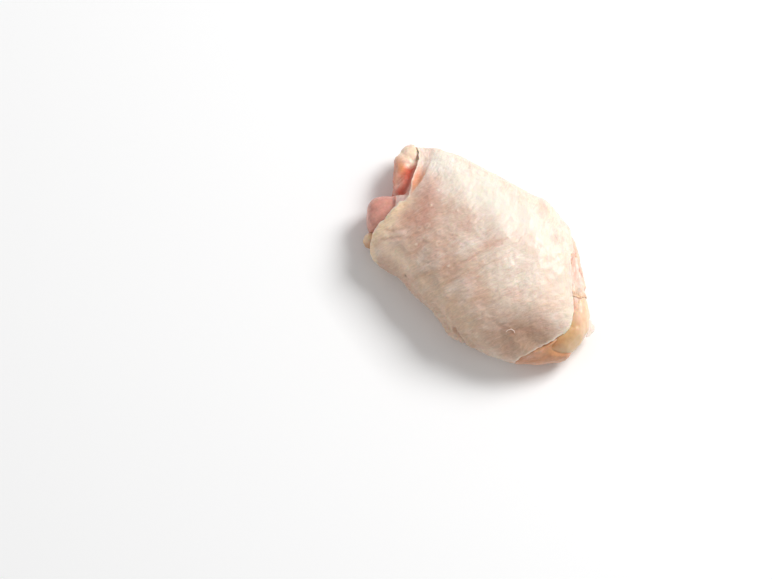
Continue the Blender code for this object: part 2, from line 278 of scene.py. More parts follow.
def add_lobe(bm, segments, rings, shape):
    """A sphere in a bmesh, made squarer, drawn out, bent, turned and placed by its shape."""
    centre, half_sizes, turn, squareness, bend = shape
    made = bmesh.ops.create_uvsphere(bm, u_segments=segments, v_segments=rings, radius=1)
    cosine, sine = math.cos(math.radians(turn)), math.sin(math.radians(turn))
    for vertex in made["verts"]:
        reach = sum(abs(part) ** squareness for part in vertex.co) ** (-1 / squareness)
        along, across, up = (part * reach * size for part, size in zip(vertex.co, half_sizes))
        across += bend * (along / half_sizes[0]) ** 2
        x = centre[0] + along * cosine - across * sine
        y = centre[1] + along * sine + across * cosine
        vertex.co = (x, y, centre[2] + up)


def add_object(name, data):
    """An object in the scene, made of its data."""
    made = bpy.data.objects.new(name, data)
    bpy.context.scene.collection.objects.link(made)
    return made


def add_piece(name, mesh):
    """An object in the scene, shaded smooth, from a mesh."""
    mesh.shade_smooth()
    return add_object(name, mesh)


def with_modifiers_applied(piece):
    """Gives the piece the mesh that its modifiers make of it."""
    depsgraph = bpy.context.evaluated_depsgraph_get()
    mesh = bpy.data.meshes.new_from_object(piece.evaluated_get(depsgraph))
    piece.modifiers.clear()
    piece.data = mesh
    mesh.shade_smooth()
    return mesh


def read_points(mesh):
    """The mesh's points and the normals at them, as arrays."""
    points, normals = np.empty((2, len(mesh.vertices) * 3))
    mesh.vertices.foreach_get("co", points)
    mesh.vertex_normals.foreach_get("vector", normals)
    return points.reshape(-1, 3), normals.reshape(-1, 3)


def place_points(mesh, points):
    """Puts the mesh's points, worked out in the thigh's millimetres, where they go in metres."""
    points = (points - PLAN_CENTRE) * MM
    points[:, 2] = np.maximum(points[:, 2], 0)
    mesh.vertices.foreach_set("co", points.ravel())
    mesh.update()


def unevenness(points, size, octaves=3, seed=0):
    """Smooth noise of that size in millimetres at each point, from about -1 to 1."""
    shift = Vector((seed, seed * 1.7, -seed))
    places = points / size
    return np.array([noise.fractal(Vector(place) + shift, 1.0, 2.0, octaves) for place in places])


def drawn_out(points, direction, length, width):
    """Points squeezed along a direction, so that noise there has that length and width."""
    direction = np.array(direction) / np.linalg.norm(direction)
    along = points @ direction
    across = points - along[:, None] * direction
    return across / width + along[:, None] * direction / length


def near_path(points, path, width):
    """1 on the path, falling to 0 a little more than one width away."""
    away = np.full(len(points), np.inf)
    for start, end in zip(path[:-1], path[1:]):
        start, run = np.array(start), np.array(end) - np.array(start)
        share = np.clip((points - start) @ run / (run @ run), 0, 1)
        away = np.minimum(away, np.linalg.norm(points - start - share[:, None] * run, axis=1))
    return np.exp(-(away / width) ** 2)


def near_spot(points, centre, radius):
    """1 at the spot's centre, falling to 0 a little more than one radius away."""
    return np.exp(-(np.linalg.norm(points - centre, axis=1) / radius) ** 2)


def lobe_shares(points, shape):
    """The points in a lobe's own directions, each as a share of its half size."""
    centre, half_sizes, turn, squareness, bend = shape
    cosine, sine = math.cos(math.radians(turn)), math.sin(math.radians(turn))
    x, y, z = (points - centre).T
    along, across = x * cosine + y * sine, y * cosine - x * sine
    across = across - bend * (along / half_sizes[0]) ** 2
    return np.stack([along, across, z], axis=-1) / half_sizes


def in_lobe(points, shape, start=1.25, end=1.02):
    """1 on and in a rounded lobe, fading to 0 outside it."""
    shares = np.abs(lobe_shares(points, shape)) ** shape[3]
    return 1 - ramp(shares.sum(axis=1) ** (1 / shape[3]), end, start)


def linear(colour):
    """A hex sRGB colour as linear red, green and blue."""
    shares = [int(colour[place:place + 2], 16) / 255 for place in (1, 3, 5)]
    return np.array([c / 12.92 if c <= 0.04045 else ((c + 0.055) / 1.055) ** 2.4 for c in shares])


def paint(mesh, base, layers):
    """Stores the tissue's colour at each point: a base, then (mask, colour) layers over it."""
    colours = np.tile(linear(base), (len(mesh.vertices), 1))
    for mask, colour in layers:
        mask = np.clip(mask, 0, 1)[:, None]
        colours = colours * (1 - mask) + linear(colour) * mask
    tissue = mesh.color_attributes.new(name="tissue", type="FLOAT_COLOR", domain="POINT")
    tissue.data.foreach_set("color", np.c_[colours, np.ones(len(colours))].ravel())


bm = bmesh.new()
bmesh.ops.create_uvsphere(bm, u_segments=MEAT_SEGMENTS, v_segments=MEAT_RINGS, radius=1)
length = HIP_POLE[0] - KNEE_POLE[0]
depths = []
for vertex in bm.verts:
    x = KNEE_POLE[0] + length * (vertex.co.z + 1) / 2
    angle = math.degrees(math.atan2(vertex.co.y, vertex.co.x))
    depths.append(float(flesh_depth(x, angle)))
    vertex.co = on_body(x, angle)
    vertex.co.x += TIP_DRAWN_BACK * (1 - ramp(x, *TIP_RANGE))
bmesh.ops.reverse_faces(bm, faces=bm.faces)
bm.normal_update()
for vertex, depth, normal in zip(bm.verts, depths, [vertex.normal.copy() for vertex in bm.verts]):
    vertex.co -= normal * depth
for lobe in (MUSCLE_LOBE, END_FOLD, KNEE_FACE, HOOD_FILL):
    add_lobe(bm, LOBE_SEGMENTS, LOBE_RINGS, lobe)
mesh = bpy.data.meshes.new("meat")
bm.to_mesh(mesh)
bm.free()
meat = add_piece("thigh_meat", mesh)
joining = meat.modifiers.new("joining", "REMESH")
joining.mode = "VOXEL"
joining.voxel_size = MEAT_VOXEL
easing = meat.modifiers.new("easing", "SMOOTH")
easing.iterations = MEAT_SMOOTHING
mesh = with_modifiers_applied(meat)
points, normals = read_points(mesh)
bulge = in_lobe(points, MUSCLE_LOBE)
fold = in_lobe(points, END_FOLD, start=1.45)
at_hip = ramp(points[:, 0] + HIP_SLANT * points[:, 1], *HIP_RANGE)
lumps = FLESH_LUMP_HEIGHT * unevenness(points, FLESH_LUMP_SIZE, seed=1)
fibres = unevenness(drawn_out(points, FIBRE_DIRECTION, FIBRE_LENGTH, FIBRE_WIDTH), 1, octaves=2, seed=2)
torn = TORN_HEIGHT * unevenness(points, TORN_SIZE, seed=3)
heights = lumps * (1 - 0.7 * bulge) + FIBRE_HEIGHT * fibres + torn * (fold + 0.7 * at_hip)
rim_angles = np.linspace(*RIM_ANGLES, RIM_STEPS)
rim_line = on_body(hip_cut(rim_angles), rim_angles) - (0, 0, SKIN_COVER)
under_rim = near_path(points, rim_line, RIM_WIDTH)
heights -= ROLL_SINK * in_lobe(points, HIP_FAT, start=1.2, end=0.95) * (1 - under_rim)
groove_shade_mask = np.zeros(len(points))
for path, width, depth in FLESH_GROOVES:
    groove = near_path(points, path, width)
    heights -= depth * groove
    if depth > 0:
        groove_shade_mask = np.maximum(groove_shade_mask, groove)
place_points(mesh, kept_under_hood(points + normals * heights[:, None]))

places = {name: near_path(points, path, width) for name, (width, path) in FLESH_PLACES.items()}
hood = in_lobe(points, HOOD_FILL, start=1.6)
in_knee = 1 - ramp(points[:, 0], *KNEE_RANGE)
ruffle = near_spot(points, UNDER_RUFFLE, UNDER_RUFFLE_RADIUS)
near_roll = in_lobe(points, HIP_FAT, start=1.5, end=1.05)
streaks = ramp(fibres, 0.1, 0.6)
sinews = streaks * (1 - bulge) * (1 - in_knee) * (1 - near_roll) * (1 - places["near hip"])
paint(mesh, FLESH_PINK, (
    (0.35 + 0.4 * lumps, FLESH_PEACH),
    (0.7 * in_knee, FLESH_MAUVE),
    (bulge, FLESH_MAUVE),
    (0.35 * bulge * streaks, FLESH_PINK),
    (fold, FLESH_SALMON),
    (fold * places["torn orange"], FLESH_ORANGE),
    (np.maximum(fold, in_knee) * places["torn red"], FLESH_RED),
    (fold * places["fold top"], FLESH_PEACH),
    (hood, HOOD_PEACH),
    (0.8 * places["fold edge"], FLESH_PINK),
    (0.9 * places["fold floor"], FLESH_DEEP_RED),
    (0.8 * ruffle, HIP_PINK),
    (places["sinew"], SINEW_WHITE),
    (near_roll, FLESH_PEACH),
    (near_roll * (1 - ramp(points[:, 1], -20, -2)), ROLL_BROWN),
    (0.85 * places["near hip"] * (1 - 0.7 * near_roll), FLESH_BROWN),
    (0.8 * places["far hip"], FLESH_PEACH),
    # Painted shade: the hip end's grooves are painted darker
    (0.6 * groove_shade_mask * at_hip, FLESH_GROOVE_SHADE),
    (0.5 * sinews, SINEW_WHITE),
))


def set_inputs(material, node, values):
    """Sets the node's inputs of those names or identifiers, or links them to sockets."""
    for key, value in values.items():
        socket = next(each for each in node.inputs if key in (each.identifier, each.name))
        if isinstance(value, bpy.types.NodeSocket):
            material.node_tree.links.new(value, socket)
        else:
            socket.default_value = value


def add_node(material, kind, values, output=0, **settings):
    """Adds a shader node with its settings and inputs set or linked; returns an output of it."""
    node = material.node_tree.nodes.new("ShaderNode" + kind)
    for name, setting in settings.items():
        setattr(node, name, setting)
    set_inputs(material, node, values)
    return node.outputs[output]


def new_material(name):
    """A material with its shader, to be given its inputs."""
    material = bpy.data.materials.new(name)
    material.use_nodes = True
    return material, material.node_tree.nodes["Principled BSDF"]


# Raw muscle, as it comes from the knife: fibres just show through the wet, clear membrane,
# light sinks in a few millimetres and comes back redder, and a film of juice makes it gleam
MIX_COLOUR = 2
MOTTLE_SIZE, FLESH_GRAIN = 2.4, 0.7
material, shader = new_material("raw poultry muscle")
tissue = add_node(material, "Attribute", {}, attribute_name="tissue")
place = add_node(material, "TexCoord", {}, output="Object")
mottle = add_node(material, "TexNoise", {
    "Vector": place, "Scale": 1 / (MOTTLE_SIZE * MM), "Detail": 3.0, "Roughness": 0.6,
})
shade = add_node(material, "MapRange", {
    "Value": mottle, "From Min": 0.3, "From Max": 0.7, "To Min": 0.86, "To Max": 1.1,
})
colour = add_node(material, "Mix", {
    "Factor_Float": 1.0, "A_Color": tissue, "B_Color": shade,
}, output=MIX_COLOUR, data_type="RGBA", blend_type="MULTIPLY")
grain = add_node(material, "TexNoise", {
    "Vector": place, "Scale": 1 / (FLESH_GRAIN * MM), "Detail": 2.0,
})
bump = add_node(material, "Bump", {
    "Height": grain, "Strength": 0.35, "Distance": 0.2 * MM,
})
set_inputs(material, shader, {
    "Base Color": colour, "Roughness": 0.36, "IOR": 1.36, "Normal": bump,
    "Subsurface Weight": 0.6, "Subsurface Radius": (1.0, 0.35, 0.22), "Subsurface Scale": 1.4 * MM,
    "Coat Weight": 0.2, "Coat Roughness": 0.12, "Coat IOR": 1.33,
})
mesh.materials.append(material)
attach(meat, "root")
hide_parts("meat")

# Fat
# Two soft lobes of raw fat, smooth and yellowish: a long roll, half sunk in the flesh of
# the hip end, and a small one under the skin's corner at the knee end.
KNEE_FAT = ((-47.6, -22.2, 9.5), (5, 4, 6.2), 30, 2, 0)
FAT_SEGMENTS, FAT_RINGS = 160, 90
FAT_LUMP_SIZE, FAT_LUMP_HEIGHT = 6, 0.55
FAT_GRAIN = 1.6
FAT_CREAM = "#f2dcb8"
FAT_PINK = "#dcb393"
FAT_BROWN = "#c08e63"
# The roll's far end rises to where the ruffled membrane lies on it
ROLL_RISE = 3.2

# Raw fat is waxy: light goes in deep and comes out yellow, and its wet film is barely rough
material, shader = new_material("raw poultry fat")
tissue = add_node(material, "Attribute", {}, attribute_name="tissue")
place = add_node(material, "TexCoord", {}, output="Object")
grain = add_node(material, "TexNoise", {
    "Vector": place, "Scale": 1 / (FAT_GRAIN * MM), "Detail": 3.0,
})
bump = add_node(material, "Bump", {
    "Height": grain, "Strength": 0.3, "Distance": 0.25 * MM,
})
set_inputs(material, shader, {
    "Base Color": tissue, "Roughness": 0.38, "IOR": 1.45, "Normal": bump,
    "Subsurface Weight": 0.7, "Subsurface Radius": (1.0, 0.6, 0.3), "Subsurface Scale": 2.0 * MM,
    "Coat Weight": 0.25, "Coat Roughness": 0.15, "Coat IOR": 1.33,
})

for name, node, shape in (
    ("hip_fat_lobe", "hip_fat", HIP_FAT),
    ("knee_fat_lobe", "knee_fat", KNEE_FAT),
):
    bm = bmesh.new()
    add_lobe(bm, FAT_SEGMENTS, FAT_RINGS, shape)
    mesh = bpy.data.meshes.new(name)
    bm.to_mesh(mesh)
    bm.free()
    piece = add_piece(name, mesh)
    points, normals = read_points(mesh)
    lumps = unevenness(points, FAT_LUMP_SIZE, seed=5)
    heights = FAT_LUMP_HEIGHT * (lumps - 0.4)
    along, across, up = lobe_shares(points, shape).T
    if node == "hip_fat":
        points[:, 2] += ROLL_RISE * ramp(along, -0.2, 0.8) * ramp(up, -0.4, 0.6)
        paint(mesh, ROLL_YELLOW, (
            (ramp(along + 0.15 * lumps, -0.05, 0.35), ROLL_PEACH),
            (1 - ramp(along + 0.15 * lumps, -0.7, -0.05), ROLL_BROWN),
            (0.35 * ramp(-across, 0.2, 0.9), FAT_CREAM),
        ))
    else:
        paint(mesh, FAT_PINK, (
            (0.3 + 0.5 * lumps, FAT_CREAM),
            (0.8 * ramp(-up - across, -0.3, 0.9), FAT_BROWN),
        ))
    place_points(mesh, points + normals * heights[:, None])
    mesh.materials.append(material)
    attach(piece, "root")
    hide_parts(node)

# Skin
# One sheet of plucked chicken skin, about two millimetres thick, wrapped over the meat from
# hem to hem and cut off at both ends. It is cream to pink, soft and wet, with pimples where
# the feathers grew and fine creases that run round the thigh. Its near side is painted a
# darker dusty pink, partly its own tone and partly painted shade. Painted shade also darkens
# its creases, folds and near shoulder, and painted light brightens the knee end's corner, the
# near outline and a few small glints.
SKIN_THICKNESS, RIM_THICKNESS, RIM_TAPER = 1.9, 1.1, 7
SKIN_ROWS, SKIN_COLUMNS, RIM_ROWS = 190, 234, 5
HEM_ANGLE, WIDEST_ANGLE, FINE_ANGLES = 145, 160, 721
# Slow waves of the soft surface, as on the solid
LUMP_HEIGHT, LUMP_LENGTH, LUMP_ANGLE = 0.45, 31, 47
LUMP_LEAN, LUMP_TWIST = 0.6, 2.1
LUMP_FADE = (95, 135)
# Finer unevenness: size and height in millimetres
SOFT_SIZE, SOFT_HEIGHT = 9, 0.45
PEBBLE_SIZE, PEBBLE_HEIGHT = 2.2, 0.18
CREASE_LENGTH, CREASE_SPACING, CREASE_HEIGHT = 9, 1.7, 0.2
# How far the fine creases drift along X for each millimetre round the near and the far side
NEAR_LEAN, FAR_LEAN = 0.45, -0.3
LEAN_RANGE = (0, 30)
ROUND_REACH, ROUND_STEPS = 90, 361
WANDER, WANDER_SIZE = 1.2, 8
MILKY_SIZE, ROSY_SIZE = 12, 8
# Where the skin is drawn taut, in x and the distance round, and how much relief it loses
TAUT_PATH, TAUT_WIDTH, TAUT_LOSS = ((0, 21), (20, 12), (44, 8)), 13.5, 0.6
RAGGED_SIZE, RAGGED_DEPTH = 3, 0.5
# Pimples: each is a low ring with a darker pit, off its place in the rows by a little
PIMPLE_ROWS, PIMPLE_COLUMNS = range(-9, 10), range(-11, 12)
PIMPLE_SPACING, PIMPLE_PITCH, PIMPLE_STRAY = 6.4, 0.8, 0.7
PIMPLE_RADIUS, PIMPLE_WIDTH, PIMPLE_HEIGHT, PIMPLE_PIT = 1.1, 0.5, 0.42, 0.45
PIMPLE_STRENGTHS, PIMPLE_SIZES = (0.25, 1), (0.8, 1.2)
PIMPLE_START, PIMPLE_END, PIMPLE_REACH = -46, 58, 60
STRONG_PIMPLES, STRONG_RADIUS = (-18, -15), 15
# Folds in the skin: path over the surface as (x, distance round), width, depth
SKIN_FOLDS = (
    (((-2.2, -17.3), (0.8, -12.1), (1.2, -9.5), (3.8, -2.9), (5.9, 3.2), (8.9, 8.7)), 0.6, 0.32),
    (((-14.4, -8.3), (-11.4, -6.5)), 0.5, 0.3),
    (((-9.8, -11.8), (-7.9, -6.2)), 0.5, 0.2),
    (((13, -45), (14.7, -46.8), (18.2, -50.6), (19.6, -55)), 0.9, 1.6),
    (((-41.5, -29), (-35, -24), (-30, -21)), 0.9, 0.35),
    (((-43, -24), (-38, -21.5), (-33, -16.5)), 0.8, 0.3),
    (((30, -27), (38, -23), (44, -16)), 1.2, 0.3),
)
# Beside each fold the skin swells a little: share of its depth, and of its width
FOLD_SWELL, FOLD_SWELL_WIDTH = 0.35, 2.6
# Small wet knobs, painted pale as glints: places as x and distance round
SKIN_GLINT_KNOBS = ((-30.9, -1), (-18.9, 4.5), (-25.4, -21.9), (-33, 8.5), (-6, -21))
KNOB_RADIUS, KNOB_HEIGHT = 0.55, 0.5
FRILL_PATH, FRILL_WIDTH = ((3, -50), (12, -50), (21, -50)), 7
FRILL_SIZE, FRILL_HEIGHT = 3.2, 1.4
# How much of its fine texture the bright skin of the crown loses
CROWN_CALM = 0.8
# The rim by the muscle is rolled: where it stands highest, half its width, and its height
ROLLED_AT, ROLLED_WIDTH, ROLLED_HEIGHT = 1.7, 1.5, 0.5
MUSCLE_SIDE = (-3, 12)
SMOOTH_RIM = 1.2
# The far side of the cuff stands out a little over the hood
HOOD_SWELL_AT, HOOD_SWELL_RADIUS, HOOD_SWELL = (-56, 28.5, 15), 6, 0.8
SKIN_CREAM = "#f3e8da"
SKIN_PINK = "#d9a594"
# Dusty pink for the near side: partly its own tone, partly painted shade of the side turned from the
# light
SKIN_NEAR_SHADE_PINK = "#cda88b"
SKIN_TAN = "#caa088"
SKIN_BLUSH = "#ca8c79"
SKIN_BUTTER = "#f4d7bb"
SKIN_YELLOW = "#f8dab8"
SKIN_ORANGE = "#e69b74"
# Painted light: pale cream for the knee end's corner, which is turned from the light
KNEE_CORNER_PAINTED_LIGHT = "#ffe2c8"
SKIN_WARM = "#e6c1aa"
# Cream of the cut rim and the pimples' rings, also used for the painted glints on the knobs
RIM_AND_GLINT_CREAM = "#f8ead8"
SKIN_MILKY = "#f8efe6"
# Painted shade for the troughs of the creases and folds
SKIN_CREASE_SHADE = "#cf9f88"
# Brownish: the pimples' pits, and painted shade on the near shoulder
SKIN_BROWNISH = "#c2957c"
SKIN_SHADED = "#a07f68"
CUFF_PINK = "#fde1d1"
BLOOD_SPOT = "#7a4a38"
# Patches of tone, by their share, colour, width and path: some under the mottles and creases,
# and some over them. The last low one is painted light on the near outline. The ones over them
# are painted shade on the near shoulder and painted light in the knee end's corner.
LOW_PATCHES = (
    (0.5, SKIN_TAN, 8.5, ((-27, 3), (-10, 5), (2, 2))),
    (0.4, SKIN_TAN, 5, ((-11, -19), (0, -24), (9, -18), (24, -25))),
    (0.4, SKIN_WARM, 7.5, ((12, 12), (29, 13), (42, 1))),
    (0.4, SKIN_CREAM, 6, ((18, -12), (33, -13))),
    # Painted light: the near outline is brightened to butter cream, as if lit by light bounced up from
    # the floor
    (0.5, SKIN_BUTTER, 5.5, ((-10, -36), (20, -39))),
)
LIGHT_AND_SHADE_PATCHES = (
    # Painted shade: the near shoulder, turned from the light, is painted brownish and darker
    (0.4, SKIN_BROWNISH, 9, ((44, -13), (40, -20), (35, -26))),
    (0.6, SKIN_SHADED, 5.5, ((37, -21.5), (46, -17.5), (53, -12.5))),
    # Painted light: the knee end's corner, turned from the light, is painted pale cream
    (0.9, KNEE_CORNER_PAINTED_LIGHT, 5, ((-43, -18), (-43, -26), (-36, -32), (-24, -34))),
)
BLUSH_PATH, BLUSH_WIDTH = ((-37, -12), (-30, -9), (-36, 2), (-39.5, 11)), 6.5
CROWN_PATH, CROWN_WIDTH = ((-20, 24), (0, 22), (15, 20), (40, 12)), 12.5
BUTTER_PATH, BUTTER_WIDTH = ((48, 6), (44, 14), (34, 26)), 10
FAINT_BLUSH, FAINT_RADIUS = (-14, -12), 13
SPOT_AT, SPOT_RADIUS = (-22.2, -40.2), 0.85


def relief(x, angle):
    """How far the soft surface stands above the smooth body, in millimetres."""
    waves = np.sin(2 * math.pi * x / LUMP_LENGTH + np.radians(angle) * LUMP_TWIST)
    waves = waves * np.sin(2 * math.pi * (angle + LUMP_LEAN * x) / LUMP_ANGLE)
    waves = waves * (1 - ramp(np.abs(angle), *LUMP_FADE))
    return LUMP_HEIGHT * waves - hollows(x, angle)


rim_radius = RIM_THICKNESS / 2
rim_steps = rim_radius * (1 - np.cos(np.linspace(0, math.pi / 2, RIM_ROWS + 1)))
shares = np.linspace(0, 1, SKIN_ROWS)[1:-1]
row_places = [("knee", step) for step in rim_steps] + [("between", share) for share in shares]
row_places += [("hip", step) for step in rim_steps[::-1]]
rows, columns = len(row_places), SKIN_COLUMNS + 2 * RIM_ROWS
x_grid, angle_grid, round_grid, hem_distance = np.empty((4, rows, columns))
fine_shares = np.linspace(0, 1, FINE_ANGLES)


def ragged_edge(cut, seed):
    """The skin's edge along a cut, as a function of the angle, with its ragged line."""
    angles = np.linspace(-WIDEST_ANGLE, WIDEST_ANGLE, FINE_ANGLES)
    ragged = RAGGED_DEPTH * unevenness(on_body(0 * angles, angles), RAGGED_SIZE, seed=seed)
    return lambda angle: cut(angle) + np.interp(angle, angles, ragged)


knee_edge = ragged_edge(knee_cut, 11)
hip_edge = ragged_edge(hip_cut, 12)
for row, (part, amount) in enumerate(row_places):
    def x_of_angle(angle):
        if part == "knee":
            return knee_edge(angle) + amount
        if part == "hip":
            return hip_edge(angle) - amount
        inner_knee, inner_hip = knee_edge(angle) + rim_radius, hip_edge(angle) - rim_radius
        return inner_knee * (1 - amount) + inner_hip * amount

    start = -near_hem(x_of_angle(-HEM_ANGLE))
    end = far_hem(x_of_angle(HEM_ANGLE))
    fine = start + (end - start) * fine_shares
    lengths = np.linalg.norm(np.diff(on_body(x_of_angle(fine), fine), axis=0), axis=1)
    travelled = np.concatenate([[0], np.cumsum(lengths)])
    inner = np.linspace(rim_radius, travelled[-1] - rim_radius, SKIN_COLUMNS)[1:-1]
    stops = np.concatenate([rim_steps, inner, travelled[-1] - rim_steps[::-1]])
    angle_grid[row] = np.interp(stops, travelled, fine)
    x_grid[row] = x_of_angle(angle_grid[row])
    round_grid[row] = stops - np.interp(0, fine, travelled)
    hem_distance[row] = np.minimum(stops, travelled[-1] - stops)

base = on_body(x_grid, angle_grid)
along = np.gradient(base, axis=0)
across = np.gradient(base, axis=1)
outward = np.cross(along, across)
outward /= np.linalg.norm(outward, axis=-1, keepdims=True)
cut_distance = np.minimum(x_grid - knee_edge(angle_grid), hip_edge(angle_grid) - x_grid)
edge_distance = np.minimum(np.maximum(cut_distance, 0), hem_distance)

flat_points = base.reshape(-1, 3)
surface = np.stack([x_grid, round_grid], axis=-1).reshape(-1, 2)
grid_shape = x_grid.shape
off_floor = (1 - ramp(np.abs(angle_grid), *LUMP_FADE)).ravel()
slow = relief(x_grid, angle_grid).ravel()
soft = SOFT_HEIGHT * unevenness(flat_points, SOFT_SIZE, seed=21)
pebble = unevenness(flat_points, PEBBLE_SIZE, octaves=2, seed=22)
turns = np.linspace(-ROUND_REACH, ROUND_REACH, ROUND_STEPS)
leans = NEAR_LEAN + (FAR_LEAN - NEAR_LEAN) * ramp(turns, *LEAN_RANGE)
drift = np.cumsum(leans) * (turns[1] - turns[0])
across_flow = surface[:, 0] - np.interp(surface[:, 1], turns, drift)
across_flow += WANDER * unevenness(flat_points, WANDER_SIZE, octaves=2, seed=23)
flow_points = np.stack([across_flow, surface[:, 1], 0 * across_flow], axis=-1)
creases = unevenness(flow_points / (CREASE_SPACING, CREASE_LENGTH, 1), 1, seed=24)
milky = unevenness(flow_points / (MILKY_SIZE, 2 * MILKY_SIZE, 1), 1, seed=25)
rosy = unevenness(flow_points / (ROSY_SIZE, 1.6 * ROSY_SIZE, 1), 1, seed=26)
fine_height = PEBBLE_HEIGHT * pebble + CREASE_HEIGHT * creases
fine_height = fine_height * (1 - TAUT_LOSS * near_path(surface, TAUT_PATH, TAUT_WIDTH))

random = np.random.default_rng(7)
pimples, pimple_centres, fold_height, fold_shade_lines, glint_knobs = np.zeros((5, len(surface)))
for row in PIMPLE_ROWS:
    for column in PIMPLE_COLUMNS:
        centre_x = (row + 0.5 * (column % 2)) * PIMPLE_SPACING + random.normal(0, PIMPLE_STRAY)
        centre_round = column * PIMPLE_SPACING * PIMPLE_PITCH + random.normal(0, PIMPLE_STRAY)
        strength = random.uniform(*PIMPLE_STRENGTHS)
        size = random.uniform(*PIMPLE_SIZES)
        if abs(centre_round) > PIMPLE_REACH or not PIMPLE_START < centre_x < PIMPLE_END:
            continue
        away = np.hypot(surface[:, 0] - centre_x, surface[:, 1] - centre_round) / size
        ring = np.exp(-((away - PIMPLE_RADIUS) / PIMPLE_WIDTH) ** 2)
        pimples += strength * ring
        pimple_centres += strength * np.exp(-(away / (PIMPLE_PIT * PIMPLE_RADIUS)) ** 2)
pimple_share = 0.2 + 0.8 * near_spot(surface, STRONG_PIMPLES, STRONG_RADIUS)
for path, width, depth in SKIN_FOLDS:
    line = near_path(surface, path, width)
    fold_shade_lines = np.maximum(fold_shade_lines, line)
    fold_height -= depth * line
    fold_height += FOLD_SWELL * depth * near_path(surface, path, FOLD_SWELL_WIDTH * width)

# Small wet knobs, painted pale as glints, and the crumpled frill low on the near side
for knob in SKIN_GLINT_KNOBS:
    glint_knobs = np.maximum(glint_knobs, near_spot(surface, knob, KNOB_RADIUS))
frill = unevenness(flat_points, FRILL_SIZE, octaves=2, seed=27)
fold_height += FRILL_HEIGHT * frill * near_path(surface, FRILL_PATH, FRILL_WIDTH)

# The rim's rolled stretch beside the muscle, and the swell over the hood
knee_distance = (x_grid - knee_edge(angle_grid)).ravel()
angles = angle_grid.ravel()
by_muscle = ramp(-angles, *MUSCLE_SIDE)
fold_height += HOOD_SWELL * near_spot(flat_points, HOOD_SWELL_AT, HOOD_SWELL_RADIUS)
fold_height += ROLLED_HEIGHT * by_muscle * np.exp(-((knee_distance - ROLLED_AT) / ROLLED_WIDTH) ** 2)

edge = edge_distance.ravel()
calm_rim = ramp(edge, 0, SMOOTH_RIM)
fine_height = fine_height + PIMPLE_HEIGHT * pimples * pimple_share + KNOB_HEIGHT * glint_knobs
height = slow + (soft + fine_height * calm_rim + fold_height) * off_floor
inside = np.minimum(edge, rim_radius)
rounding = np.sqrt(np.maximum(rim_radius ** 2 - (rim_radius - inside) ** 2, 0)) - rim_radius
thickness = RIM_THICKNESS + (SKIN_THICKNESS - RIM_THICKNESS) * ramp(edge, 0, RIM_TAPER)
outer = flat_points + outward.reshape(-1, 3) * (height + rounding)[:, None]
inner_height = slow + soft * off_floor - thickness - rounding
inner_points = flat_points + outward.reshape(-1, 3) * inner_height[:, None]

outer_index = np.arange(rows * columns).reshape(grid_shape)
inner_index = outer_index.copy()
inside_grid = np.zeros(grid_shape, bool)
inside_grid[1:-1, 1:-1] = True
inner_index[inside_grid] = rows * columns + np.arange(inside_grid.sum())


def grid_faces(index, flip):
    """The four-sided faces between a grid's points."""
    corners = [index[:-1, :-1], index[1:, :-1], index[1:, 1:], index[:-1, 1:]]
    if flip:
        corners = corners[::-1]
    return np.stack([corner.ravel() for corner in corners], axis=-1)


faces = np.concatenate([grid_faces(outer_index, False), grid_faces(inner_index, True)])
all_points = np.concatenate([outer, inner_points[inside_grid.ravel()]])
mesh = bpy.data.meshes.new("skin")
mesh.from_pydata(all_points.tolist(), [], faces.tolist())
place_points(mesh, all_points)
skin = add_piece("thigh_skin", mesh)


def both_sides(values, inner_value=0):
    """Values of the outer side's points, with one value for those of the inner side."""
    return np.concatenate([values, np.full(len(all_points) - len(values), inner_value)])


